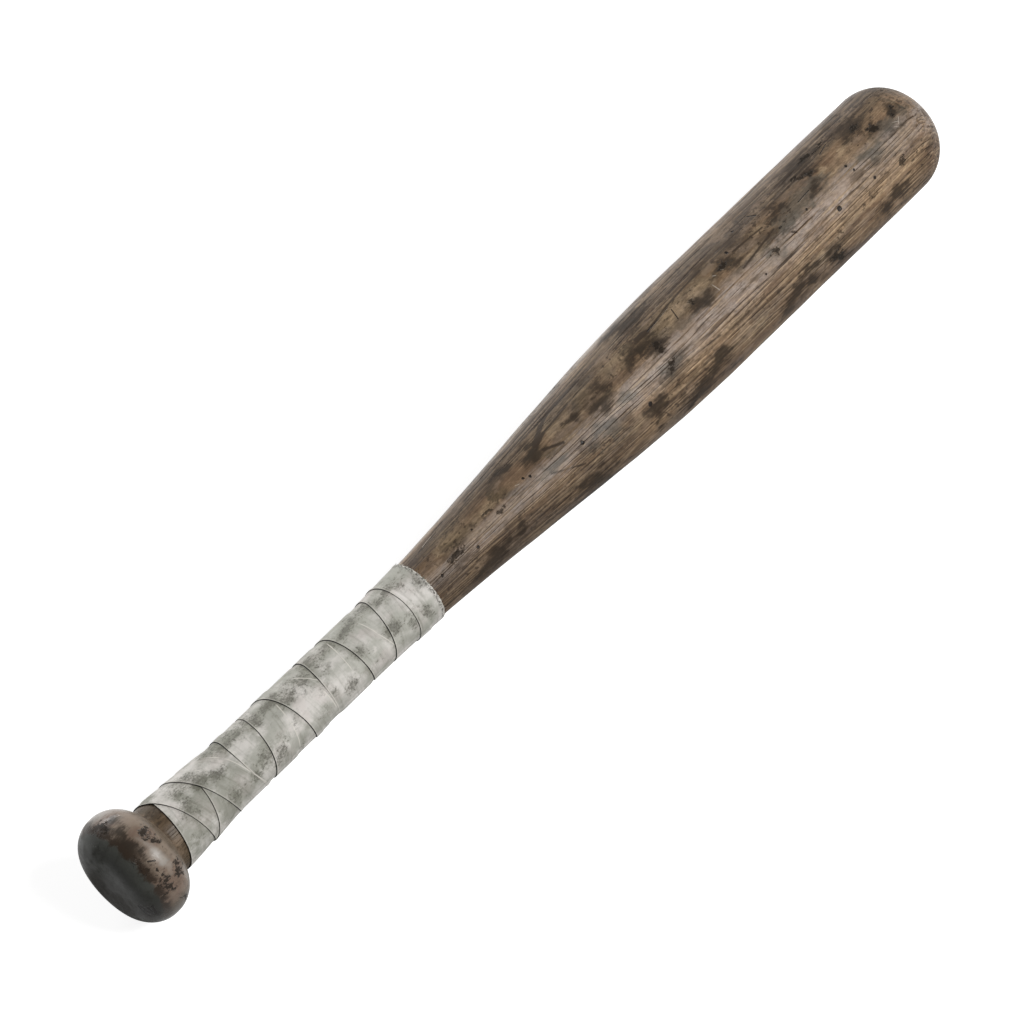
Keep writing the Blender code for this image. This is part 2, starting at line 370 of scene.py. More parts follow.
class Graph:
    """Adds the nodes of one material or world and joins them. Lengths inside a graph are in millimetres."""

    def __init__(self, owner):
        owner.use_nodes = True
        self.owner = owner
        self.tree = owner.node_tree
        self.shader = next(node for node in self.tree.nodes if node.outputs)
        self.colour = None

    def put(self, socket, value):
        """Joins a node's output to this input, or sets the input's own value."""
        if isinstance(value, bpy.types.NodeSocket):
            self.tree.links.new(value, socket)
        elif socket.type == "RGBA":
            socket.default_value = (*value, 1.0)
        else:
            socket.default_value = value

    def shade(self, values):
        """Gives the shader these values, each by the name of its input."""
        for name, value in values.items():
            self.put(self.shader.inputs[name], value)

    def node(self, kind, *inputs, **settings):
        """A node with these settings, and with these inputs in its own order."""
        made = self.tree.nodes.new("ShaderNode" + kind)
        for key, value in settings.items():
            setattr(made, key, value)
        sockets = [socket for socket in made.inputs if socket.enabled]
        for socket, value in zip(sockets, inputs):
            self.put(socket, value)
        return made

    def result(self, kind, *inputs, **settings):
        """The first output of such a node that its settings leave in use."""
        return next(socket for socket in self.node(kind, *inputs, **settings).outputs if socket.enabled)

    def math(self, operation, *inputs, clamp=False):
        return self.result("Math", *inputs, operation=operation, use_clamp=clamp)

    def vector(self, operation, *inputs):
        return self.result("VectorMath", *inputs, operation=operation)

    def chain(self, operation, total, *others):
        for value in others:
            total = self.math(operation, total, value)
        return total

    def add(self, *values):
        return self.chain("ADD", *values)

    def times(self, *values):
        return self.chain("MULTIPLY", *values)

    def largest(self, *values):
        return self.chain("MAXIMUM", *values)

    def flip(self, value):
        return self.math("SUBTRACT", 1.0, value)

    def rise(self, value, low, high, least=0.0, most=1.0):
        """Goes smoothly from least at low to most at high."""
        return self.result("MapRange", value, low, high, least, most, interpolation_type="SMOOTHSTEP")

    def fall(self, value, low, high):
        """Goes smoothly from 1 at low to 0 at high."""
        return self.rise(value, low, high, 1.0, 0.0)

    def within(self, value, low, full, still_full, high):
        """1 between the two middle limits, and falling smoothly to 0 at the outer ones."""
        return self.times(self.rise(value, low, full), self.fall(value, still_full, high))

    def sway(self, noise_value, width):
        """A noise of 0 to 1, spread evenly about 0 over this width."""
        return self.times(self.add(noise_value, -0.5), width)

    def noise(self, vector, scale, detail=2.0, roughness=0.5):
        return self.result("TexNoise", vector, scale, detail, roughness)

    def grain(self, vector, along, across, detail, roughness=0.6, start=None):
        """Noise of so many waves a millimetre along and across the bat. Another start gives other noise."""
        vector = self.vector("MULTIPLY", vector, (along, across, across))
        if start:
            vector = self.vector("ADD", vector, start)
        return self.noise(vector, 1.0, detail, roughness)

    def value(self, name):
        """The number stored under this name at the mesh's points."""
        return self.node("Attribute", attribute_name=name).outputs["Fac"]

    def mix(self, share, below, above):
        return self.result("Mix", share, below, above, data_type="RGBA")

    def coat(self, above, *shares):
        """Lays a colour over what is there already, as strongly as these shares make together."""
        self.colour = self.mix(self.times(*shares), self.colour, above)

    def from_line(self, p, start, end):
        """The distance to the straight line between these two points."""
        run = Vector(end) - Vector(start)
        away = self.vector("ADD", p, -Vector(start))
        along = self.vector("DOT_PRODUCT", away, run)
        part = self.math("MULTIPLY", along, 1 / run.length_squared, clamp=True)
        return self.vector("LENGTH", self.vector("SUBTRACT", away, self.vector("SCALE", run, part)))

    def bump(self, height, distance, strength):
        made = self.node("Bump", strength, distance)
        self.put(made.inputs["Height"], height)
        return made.outputs["Normal"]

    def millimetres(self):
        """The piece's own coordinates."""
        return self.vector("MULTIPLY", self.node("TexCoord").outputs["Object"], (1 / MM,) * 3)


def bat_coordinates(graph, p):
    """A point's x and station, and how far it is beyond the bat's axis and above it."""
    x, y, z = graph.node("SeparateXYZ", p).outputs
    return x, graph.add(x, -BAT_LOW.x / MM), y, graph.add(z, -AXIS_HEIGHT / MM)


def on_wood(station, turn):
    """The point of the wood's surface at this station and angle, which are in millimetres and degrees."""
    radius = np.interp(station * MM, WOOD_STATIONS, WOOD_RADII)
    return tuple(float(part) / MM for part in place(station * MM, radius, math.radians(turn)))


def scratched(graph, p, rough, scratches, softness=0.11, wobble=0.5):
    """1 inside these scratches, whose sides are a little rough."""
    nearest = -1.0
    for start, start_turn, end, end_turn, width in scratches:
        away = graph.from_line(p, on_wood(start, start_turn), on_wood(end, end_turn))
        nearest = graph.largest(nearest, graph.add(width / 2, graph.times(away, -1.0)))
    return graph.rise(graph.add(nearest, graph.sway(rough, wobble)), -softness, softness)


def ragged(graph, depth, rough, spread, low, high):
    """A patch with a torn edge, from how deep inside it each point is and a fine noise."""
    return graph.rise(graph.add(depth, graph.sway(rough, spread)), low, high)


def speckled(graph, p):
    """Small dark specks that lie in clusters."""
    cluster = graph.grain(p, 0.03, 0.045, 3.0, 0.6, (1.0, 2.0, 3.0))
    specks = graph.grain(p, 0.32, 0.448, 3.0, 0.65)
    return graph.times(graph.rise(cluster, 0.44, 0.54), graph.rise(specks, 0.55, 0.63))


def pitted(graph, p, rough):
    """1 in the small round holes, whose rims are a little rough."""
    depth = -9.0
    for station, turn, size in PITS:
        away = graph.vector("DISTANCE", p, on_wood(station, turn))
        depth = graph.largest(depth, graph.add(size / 2, graph.times(away, -1.0)))
    return graph.rise(graph.add(depth, graph.sway(rough, 1.6)), -0.1, 0.35)


def year_flames(g, look, p, y, up, mottle):
    """The dark flames on top, where the taper cuts through rings round a pith well below the bat."""
    across, down = math.cos(look.pith_angle), math.sin(look.pith_angle)
    depth = look.pith_depth / MM
    off_pith = g.result("CombineXYZ", g.add(y, depth * across), g.add(up, depth * down), 0.0)
    figure = g.grain(p, 0.007, 0.03, 2.0, 0.5, (31.0, 11.0, 2.0))
    years = g.add(g.vector("LENGTH", off_pith), g.sway(figure, look.figure), g.sway(mottle, 2.2))
    season = g.math("FRACT", g.math("DIVIDE", years, look.ring_spacing / MM))
    return g.within(season, 0.0, 0.06, 0.08, 0.42)


def off_flat(g, look, round_y, round_z):
    """How far each point is from the flat-sawn middle, round the bat: -1 and 1 at its two sides."""
    across, down = math.cos(look.pith_angle), math.sin(look.pith_angle)
    return g.times(g.add(g.times(round_y, -down), g.times(round_z, across)), MM / BARREL_RADIUS)


def side_lines(g, look, fibre, aside, bare):
    """How lined and how busy the wood is, and its straight lines: dark pores, with gold wood between."""
    turned = g.math("ARCSINE", g.times(aside, 0.97))
    bend = g.grain(fibre, 0.005, 0.09, 3.0)
    wider = g.largest(turned, g.times(turned, 0.75))
    count = g.add(g.times(wider, BARREL_RADIUS / look.line_spacing), g.times(bend, 4.5))
    part = g.math("FRACT", count)
    strength = g.rise(g.grain(fibre, 0.024, 0.4, 4.0, 0.65, (9.0, 1.0, 4.0)), 0.42, 0.54)
    busy = g.rise(g.grain(fibre, 0.010, 0.07, 3.0, 0.6, (4.0, 6.0, 4.0)), 0.36, 0.58)
    lined = g.times(g.rise(g.math("ABSOLUTE", aside), 0.18, 0.42, 0.15, 1.0), bare)
    dark_line = g.times(g.within(part, 0.0, 0.04, 0.10, 0.22), strength, lined)
    gold_line = g.times(g.within(part, 0.24, 0.36, 0.44, 0.70), strength, lined)
    return lined, busy, dark_line, gold_line


def dirt_and_painted_shade(g, from_butt, aside, far_side_shade, cloud, crumb, fine):
    """How the wood is darkened: painted shade down both sides, stronger on the near side by the grip, darker
    towards the grip, and uneven in tone.
    """
    # Painted shade: the far side, the barrel's far edge, the near side and its lowest edge are darkened
    # where less light falls.
    barrel_far_shade = g.times(g.rise(from_butt, *BARREL_STARTS), g.fall(aside, -0.80, -0.45))
    near_side_shade = g.times(g.rise(aside, 0.55, 0.98), g.rise(from_butt, *GRIP_DARKENING_ENDS, 0.37, 0.12))
    return g.times(
        g.flip(g.times(far_side_shade, 0.50)),
        g.flip(g.times(barrel_far_shade, 0.22)),
        g.flip(near_side_shade),
        g.rise(aside, 0.95, 1.0, 1.0, 0.78),
        g.rise(from_butt, *GRIP_DARKENING_ENDS, 0.82, 1.0),
        g.rise(cloud, 0.30, 0.70, 1.34, 0.80),
        g.rise(crumb, 0.30, 0.70, 0.88, 1.14),
        g.rise(fine, 0.38, 0.62, 0.84, 1.16),
    )


def knob_browns(g, look, up, cloud, mottle):
    """The knob's browns, which hands have rubbed smooth, with painted highlights on the shoulder and painted
    shade below.
    """
    rubbed = g.mix(g.rise(cloud, 0.42, 0.58), look.knob_red, look.knob_tan)
    rubbed = g.mix(g.times(g.rise(mottle, 0.50, 0.66), 0.6), rubbed, look.knob_dirt_and_shade)
    # Painted highlights: pale patches where light glints on the knob's shoulders.
    painted_highlight = ragged(g, g.value("painted_highlight"), mottle, 1.6, -0.3, 0.9)
    rubbed = g.mix(g.times(painted_highlight, 0.62), rubbed, look.painted_highlight_tint)
    # Painted shade: the knob's underside is darker.
    return g.mix(g.times(g.fall(up, *KNOB_UNDERSIDE), 0.85), rubbed, look.knob_dirt_and_shade)


def butt_grease_and_shade(g, look, from_butt, up, mottle):
    """The butt face's colour, grease and painted shade together: painted light where the rim turns up, and
    blackest in mottles and, as painted shade, low down.
    """
    turned_up = g.times(g.rise(from_butt, *BUTT_RIM), g.rise(up, *BUTT_TOP))
    greasy = g.mix(turned_up, look.butt, look.painted_rim_light)
    blackest = g.largest(g.times(g.rise(mottle, 0.50, 0.70), 0.4), g.times(g.fall(up, *BUTT_LOW), 0.7))
    return g.mix(blackest, greasy, look.scar)


def worn_wood(look):
    """Flat-sawn on top, with flames, and close straight lines down both sides. Stained and rubbed, with
    painted shade and painted highlights.
    """
    g = Graph(bpy.data.materials.new("weathered_wood"))
    p = g.millimetres()
    x, from_butt, y, up = bat_coordinates(g, p)

    # The knob is rubbed smooth and brown. Its butt is dark with grease and painted shade, and the neck by
    # the tape has painted shade.
    cloud = g.grain(p, 0.022, 0.05, 5.0, 0.62)
    mottle = g.grain(p, 0.10, 0.16, 5.0, 0.65)
    crumb = g.grain(p, 0.35, 0.5, 4.0, 0.7)
    bare = g.rise(from_butt, *KNOB_ENDS)
    rim = g.add(from_butt, g.sway(mottle, 7.0), g.sway(crumb, 3.0))
    butt = g.fall(rim, *BUTT_ENDS)
    stain_and_shade_ring = g.times(g.fall(rim, *BAND_ENDS), g.rise(mottle, 0.30, 0.46))
    neck = g.within(from_butt, *NECK_SHADE)

    # The fibres draw together where the bat is slim, and wander a little on their way along it.
    slim = g.value("slim")
    drift = g.grain(p, 0.004, 0.015, 1.0, 0.5)
    swing = g.grain(p, 0.004, 0.015, 1.0, 0.5, (7.0, 3.0, 5.0))
    round_y = g.add(g.times(y, slim), g.sway(swing, FIBRE_WANDER))
    round_z = g.add(g.times(up, slim), g.sway(drift, FIBRE_WANDER))
    fibre = g.result("CombineXYZ", x, round_y, round_z)
    strand = g.grain(fibre, 0.026, 0.58, 4.0, 0.66)
    hair = g.grain(fibre, 0.070, 1.1, 3.0, 0.66)
    broad = g.grain(fibre, 0.009, 0.12, 3.0)
    fray = g.add(g.times(mottle, 0.50), g.times(strand, 0.28), g.times(crumb, 0.22))
    fine = g.grain(fibre, 0.35, 1.1, 3.0, 0.7)
    patched = g.grain(p, 0.026, 0.075, 6.0, 0.62, (8.0, 2.0, 6.0))
    patched = g.fall(g.add(patched, g.sway(fray, 0.3)), 0.43, 0.54)

    # Year rings leave flames on top, and lines down both sides.
    flame = year_flames(g, look, p, y, up, mottle)
    broken = g.rise(g.grain(p, 0.02, 0.06, 3.0, 0.6, (2.0, 5.0, 8.0)), 0.38, 0.54)
    aside = off_flat(g, look, round_y, round_z)
    lined, busy, dark_line, gold_line = side_lines(g, look, fibre, aside, bare)
    # The top band, where the key lamp's highlight falls
    worn_and_highlight_band = g.within(aside, 0.08, 0.30, 0.50, 0.78)

    g.colour = g.mix(g.rise(broad, 0.36, 0.64), look.brown, look.pale_brown)
    ochre = ragged(g, g.value("ochre"), fray, 4.5, -0.15, 0.25)
    g.coat(look.ochre, ochre, 0.85)
    g.coat(look.red_brown, patched, bare, 0.60)
    g.coat(look.flame, flame, broken, g.flip(g.times(lined, 0.7)), 0.90, bare)
    thick = g.times(g.add(0.25, g.times(lined, 0.65)), g.add(0.35, g.times(busy, 0.65)))
    g.coat(look.dark_fibre, g.rise(strand, 0.54, 0.60), thick, 0.75)
    g.coat(look.gold_fibre, g.fall(strand, 0.38, 0.44), thick, 0.7)
    g.coat(look.dark_fibre, g.rise(hair, 0.55, 0.61), thick, 0.75)
    g.coat(look.gold_fibre, gold_line, 0.65)
    # Grey over the top band is weathering and a painted highlight. Grey in clouds elsewhere is weathering.
    worn_and_highlight = g.times(worn_and_highlight_band, g.rise(mottle, 0.38, 0.60, 0.85, 0.35))
    weathered = g.largest(worn_and_highlight, g.times(g.rise(cloud, 0.46, 0.66), 0.35))
    g.coat(look.grey, weathered, g.fall(strand, 0.50, 0.60), bare)
    smear = ragged(g, g.value("smear"), fray, 5.0, -0.15, 0.6)
    g.coat(look.smear, smear, 0.72)
    g.coat(look.dark_line, dark_line, 0.92)
    # Painted sheen: a pale band along the far edge, where the wood is seen edge on, weaker on the barrel.
    painted_edge_sheen = g.times(g.fall(aside, -0.92, -0.74), g.rise(from_butt, *BARREL_STARTS, 1.0, 0.10))
    g.coat(look.painted_highlight_tint, painted_edge_sheen, bare, 0.45)

    # Painted shade on the far side. All the darkening is laid on the bare wood only.
    far_side_shade = g.within(aside, -0.84, -0.58, -0.42, 0.0)
    shade = dirt_and_painted_shade(g, from_butt, aside, far_side_shade, cloud, crumb, fine)
    g.colour = g.vector("SCALE", g.colour, g.add(g.times(g.add(shade, -1.0), bare), 1.0))
    g.coat(knob_browns(g, look, up, cloud, mottle), g.flip(bare), 0.9)
    # Painted shade on the neck, between the knob and the tape.
    g.coat(look.flame, neck, 0.6)

    # Soft dark patches, then ragged ones, then specks
    soft = g.grain(p, 0.032, 0.075, 6.0, 0.66, (3.0, 9.0, 4.0))
    soft = g.rise(g.add(soft, g.sway(fray, 0.35)), 0.54, 0.63)
    flaked = g.rise(g.grain(p, 0.05, 0.10, 6.0, 0.66, (13.0, 4.0, 7.0)), 0.54, 0.62)
    g.coat(look.bare_patch, flaked, bare, 0.35)
    stain = ragged(g, g.value("stain"), fray, 6.0, -0.45, 0.50)
    g.coat(look.stain, g.largest(g.times(stain, 0.78), g.times(soft, bare, 0.50)))
    core = ragged(g, g.value("stain"), fray, 6.5, 0.10, 0.90)
    g.coat(look.scar, core, 0.55)
    clear = g.times(g.flip(g.times(worn_and_highlight_band, 0.75)), g.rise(from_butt, *KNOB_ENDS, 0.25, 0.75))
    g.coat(look.stain, speckled(g, p), clear)
    scar = ragged(g, g.value("scar"), crumb, 4.5, 0.15, 0.55)
    black = ragged(g, g.value("mottle"), crumb, 5.0, 0.05, 0.55)
    dent = g.largest(scar, black)
    g.coat(look.scar, g.largest(g.times(scar, 0.80), g.times(black, 0.92)))
    # A dark ring just outside the butt face: stain, and painted shade along the rim.
    g.coat(look.stain, stain_and_shade_ring, 0.94)

    # The butt face: grease and painted shade, with painted light on its upper rim.
    g.coat(butt_grease_and_shade(g, look, from_butt, up, mottle), butt, 0.97)

    # The clearest flames, then scratches and holes
    long_line = scratched(g, p, fray, FLAME_LINES, 0.5, 3.0)
    g.coat(look.stain, long_line, 0.92)
    cut = scratched(g, p, crumb, DARK_SCRATCHES)
    g.coat(look.pit, cut, 0.9)
    scrape = scratched(g, p, crumb, PALE_SCRATCHES)
    g.coat(look.scrape, scrape, 0.8)
    pit = pitted(g, p, crumb)
    g.coat(look.pit, pit, 0.97)

    dull = g.add(
        look.roughness,
        g.sway(broad, 0.30),
        g.times(dark_line, 0.15),
        g.times(g.flip(bare), g.rise(mottle, 0.3, 0.7, -0.24, -0.06)),
        g.times(g.rise(aside, 0.60, 0.90), bare, 0.25),
        g.times(far_side_shade, 0.20),
        g.times(dent, 0.30),
        g.times(g.largest(stain, soft), 0.12),
        g.times(butt, 0.15),
    )
    relief = g.add(
        g.times(dark_line, -0.8),
        g.times(strand, lined, -0.8),
        g.times(hair, lined, -0.4),
        g.times(flame, bare, -0.2),
        g.times(pit, -4.0),
        g.times(dent, -1.5),
        g.times(cut, -2.0),
        g.times(crumb, -0.3),
    )
    g.shade({
        "Base Color": g.colour,
        "Roughness": dull,
        "Specular IOR Level": look.gloss,
        "Sheen Weight": look.dust,
        "Sheen Roughness": 0.4,
        "Normal": g.bump(relief, look.grain_depth, 1.0),
    })
    return g.owner


def ridge_highlights(graph, station, turn, rough):
    """1 along the painted highlights on the tape's ridges. Each is straight on the tape's unrolled surface.
    """
    station = graph.add(station, graph.sway(rough, 0.3))
    lines = 0.0
    for start, start_turn, end, end_turn in TAPE_RIDGE_HIGHLIGHTS:
        low, high = math.radians(start_turn), math.radians(end_turn)
        slope = (end - start) / (high - low)
        away = graph.math("ABSOLUTE", graph.add(station, -start, graph.times(graph.add(turn, -low), -slope)))
        along = graph.within(turn, low - 0.05, low + 0.15, high - 0.15, high + 0.05)
        lines = graph.largest(lines, graph.times(graph.fall(away, 0.12, 0.42), along))
    return lines


def cloth_tape(look):
    """Off-white cotton tape with a fine weave, grubby in clouds, with a dark line of dirt and painted shade
    under each lap, and painted shade on its flanks.
    """
    g = Graph(bpy.data.materials.new("cloth_tape"))
    p = g.millimetres()
    _, station, y, up = bat_coordinates(g, p)
    turn = g.math("ARCTAN2", up, y)
    along, across = g.value("along"), g.value("across")
    cloud = g.grain(p, 0.045, 0.06, 6.0, 0.62)
    blotch = g.grain(p, 0.11, 0.14, 6.0, 0.68, (4.0, 8.0, 1.0))
    speck = g.grain(p, 0.8, 0.9, 4.0, 0.7)
    rub = g.grain(g.result("CombineXYZ", along, across, 0.0), 0.05, 0.45, 4.0)

    g.colour = g.mix(g.rise(cloud, 0.36, 0.60), look.cloth, look.worn_cloth)
    rosy = g.rise(g.grain(p, 0.06, 0.08, 3.0, 0.6, (6.0, 1.0, 9.0)), 0.50, 0.66)
    g.coat(look.rosy_cloth, rosy, 0.4)
    g.coat(look.grime, g.rise(rub, 0.48, 0.70), 0.30)
    torn_blotch = g.add(g.times(blotch, 0.6), g.times(speck, 0.4))
    smudge = ragged(g, g.value("smudge"), torn_blotch, 4.0, -0.60, 0.90)
    stray = g.rise(g.add(blotch, g.sway(speck, 0.4)), 0.50, 0.70)
    dirt = g.largest(smudge, g.times(stray, 0.75))
    g.coat(look.grime, dirt, 0.56)
    ground_in = ragged(g, g.value("smudge"), torn_blotch, 7.0, 0.10, 1.10)
    g.coat(look.grit, ground_in, 0.45)
    grit = g.times(g.rise(speck, 0.52, 0.64), g.rise(dirt, 0.30, 0.85))
    g.coat(look.grit, grit, 0.50)
    clean = g.times(g.fall(speck, 0.38, 0.52), g.fall(cloud, 0.40, 0.55))
    g.coat(look.thread, clean, 0.25)

    # Hands leave more grime near the knob. The two flanks have painted shade.
    near_knob = g.times(g.fall(station, *GRIP_FOOT), g.rise(cloud, 0.44, 0.60))
    g.coat(look.grime, near_knob, 0.35)
    painted_flank_shade = g.largest(g.times(g.within(turn, *FAR_FLANK_SHADE), 0.15), g.times(g.rise(turn, *NEAR_FLANK_SHADE), 0.25))
    g.coat(look.grime, painted_flank_shade)

    # A dark line runs on both sides of each lap, dirt and painted shade together, and dust with painted
    # shadow lies beside it.
    own, lap = g.value("own_edge"), g.value("next_edge")
    own_line, lap_dirt_and_shade = g.value("own_line"), g.value("next_line")
    wander = g.sway(speck, 0.35)
    under = g.times(g.fall(g.add(lap, wander), 0.16, 0.44), lap_dirt_and_shade)
    edge = g.times(g.fall(g.add(own, wander), 0.02, 0.18), own_line)
    dust_and_shadow = g.times(g.fall(lap, 0.3, 5.0), lap_dirt_and_shade, g.rise(blotch, 0.36, 0.56))
    g.coat(look.grime, dust_and_shadow, 0.45)
    # Each turn's edge is paler, most where it has no line: worn thread, and painted light on the edge's
    # shaded side.
    worn_and_lit_edge = g.times(g.fall(own, 0.15, 0.55), g.flip(own_line))
    g.coat(look.thread, g.largest(worn_and_lit_edge, g.times(g.fall(own, 0.3, 1.0), 0.30)))
    # Painted highlights along the ridges over the edges of turns below
    g.coat(look.thread, ridge_highlights(g, station, turn, speck), 0.75)
    g.coat(look.lap_dirt_and_shade, g.largest(under, edge))

    # The trimmed ring is torn, with dirt and bare threads in it.
    trim = g.value("trim")
    torn = g.times(g.fall(trim, 0.8, 3.2), g.rise(g.noise(p, 0.9, 3.0, 0.7), 0.46, 0.56))
    g.coat(look.grit, torn, 0.85)
    tips = g.noise(g.vector("ADD", p, (5.0, 5.0, 5.0)), 1.3, 2.0)
    ends = g.times(g.fall(trim, 0.3, 0.9), g.rise(tips, 0.45, 0.55))
    g.coat(look.thread, ends, 0.9)

    warp = g.math("SINE", g.times(along, 2 * math.pi / WARP_STEP))
    weft = g.math("SINE", g.times(across, 2 * math.pi / WEFT_STEP))
    relief = g.add(g.times(warp, weft, 0.25), g.times(speck, 0.6), g.times(cloud, 2.0), g.times(torn, 1.5))
    g.shade({
        "Base Color": g.colour,
        "Roughness": g.rise(dirt, 0.0, 1.0, 0.78, 0.66),
        "Sheen Weight": 0.10,
        "Sheen Roughness": 0.5,
        "Specular IOR Level": 0.12,
        "Normal": g.bump(relief, look.weave_depth, 0.7),
    })
    return g.owner


def loose_thread(look):
    """Bare cotton, with a little of the tape's grime."""
    g = Graph(bpy.data.materials.new("loose_thread"))
    p = g.millimetres()
    grimy = g.rise(g.grain(p, 0.4, 0.4, 2.0, 0.5), 0.45, 0.6)
    g.shade({
        "Base Color": g.mix(grimy, look.thread, look.grime),
        "Roughness": 0.85,
        "Normal": g.bump(g.noise(p, 4.0), 0.05 * MM, 0.5),
    })
    return g.owner


def make_wood(look):
    """The billet as one fine turned surface, with its dents and pits pressed in."""
    angles = np.arange(WOOD_SIDES) * 2 * math.pi / WOOD_SIDES
    station, radius = WOOD_STATIONS[1:-1, None], WOOD_RADII[1:-1, None]
    angle = np.broadcast_to(angles, (len(station), WOOD_SIDES))
    torn = (
        station + look.ragged * waver(station, radius, angle, RAGGED_WAVES, 4),
        angle + look.ragged / radius * waver(station, radius, -angle, RAGGED_WAVES, 4),
    )
    scar = patch_depth(*torn, radius, SCARS)
    pits = [(at, turn, size * PIT_MOUTH, size * PIT_MOUTH) for at, turn, size in PITS]
    pit = patch_depth(station, angle, radius, pits)
    sunk = look.scar_depth * ease(scar) + look.pit_depth * ease(pit)
    sunk = sunk + look.wear_depth * np.clip(0.5 + waver(station, radius, angle, WEAR_WAVES, 1), 0, 1)
    taped = (station > NECK_ROOT) & (station < TRIM_STATION)
    rings = place(station, radius - sunk - np.where(taped, look.wear_depth, 0.0), angle)
    butt, tip = (place(at, np.zeros(1), 0.0) for at in (0.0, BAT_LENGTH))
    points = np.vstack((butt, rings.reshape(-1, 3), tip))
    values = {"slim": BARREL_RADIUS / handle_radius(station) + 0 * angle, "scar": scar}
    for name, marks in WOOD_MARKS.items():
        values[name] = patch_depth(*torn, radius, marks)
    values = {key: np.concatenate(([-1.0], numbers.ravel(), [-1.0])) for key, numbers in values.items()}
    last = len(station) * WOOD_SIDES + 1
    faces = []
    for side in range(WOOD_SIDES):
        beside = (side + 1) % WOOD_SIDES
        faces.append((0, 1 + side, 1 + beside))
        faces.append((last, last - WOOD_SIDES + beside, last - WOOD_SIDES + side))
        faces.extend(
            (row + side, row + WOOD_SIDES + side, row + WOOD_SIDES + beside, row + beside)
            for row in range(1, last - WOOD_SIDES, WOOD_SIDES)
        )
    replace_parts(make_piece("worn_bat", points, faces, values, worn_wood(look)), "bat_body")


def between_turns(turn, table):
    """A value of one of the tables of turns, turn turns on from the upper left of the grip."""
    turns = [k + quarter for k in range(len(table)) for quarter in QUARTER_TURNS]
    near = np.add.outer(turn, CORNER_EASE * np.linspace(-1, 1, EASE_SAMPLES))
    return np.interp(near, turns, np.ravel(table)).mean(axis=-1)


def tape_span(turn):
    """The stations of both edges. A turn that leans is wider along the bat, and the top ones are trimmed."""
    edge = NECK_ROOT + TAPED_LENGTH * between_turns(turn, TAPE_TURNS) / 100
    ahead, behind = (between_turns(turn + step, TAPE_TURNS) for step in (LEAN_STEP, -LEAN_STEP))
    rise = TAPED_LENGTH * (ahead - behind) / 100
    lean = rise / (2 * LEAN_STEP * 2 * math.pi * handle_radius(edge))
    return edge, np.minimum(edge + TAPE_WIDTH * np.hypot(1, lean), TRIM_STATION)


def held_up(beyond, reach, fall):
    """1 until a lapping turn is reach beyond an edge below it, then easing to 0 over fall."""
    return ease((reach + fall - beyond) / fall)


def covered(station, turn):
    """1 where the tape's turn lies under this station or close beside it, easing to 0 further off."""
    low, high = tape_span(turn)
    below = held_up(low - station, LAP_REACH, LAP_FALL)
    above = held_up(station - high, LAP_REACH, LAP_FALL)
    before = held_up(-FIRST_TURN_TUCK - turn, START_REACH, START_FALL)
    return below * above * before


def lap_above(turn, station):
    """How far beyond each point the first edge of a later turn is, and how dark its line is."""
    later = turn + np.arange(1, TURNS_BELOW + 1)
    edges = tape_span(later)[0]
    lines = np.where(later > LAST_TURN_END, 0.0, between_turns(later, LAP_LINES))
    nearest = np.argmin(edges, axis=1)[:, None]
    next_edge = np.take_along_axis(edges, nearest, axis=1) - station
    return next_edge, np.take_along_axis(lines, nearest, axis=1) + 0 * station


def ribbon_faces(count):
    """The faces along so many rings, each made of the ribbon's columns there and back, and both ends."""
    size = 2 * TAPE_COLUMNS
    end = (count - 1) * size
    faces = [
        (row + j, row + (j + 1) % size, row + size + (j + 1) % size, row + size + j)
        for row in range(0, end, size)
        for j in range(size)
    ]
    columns = range(TAPE_COLUMNS - 1)
    faces += [(size - 1 - k, size - 2 - k, k + 1, k) for k in columns]
    faces += [(end + k, end + k + 1, end + size - 2 - k, end + size - 1 - k) for k in columns]
    return faces


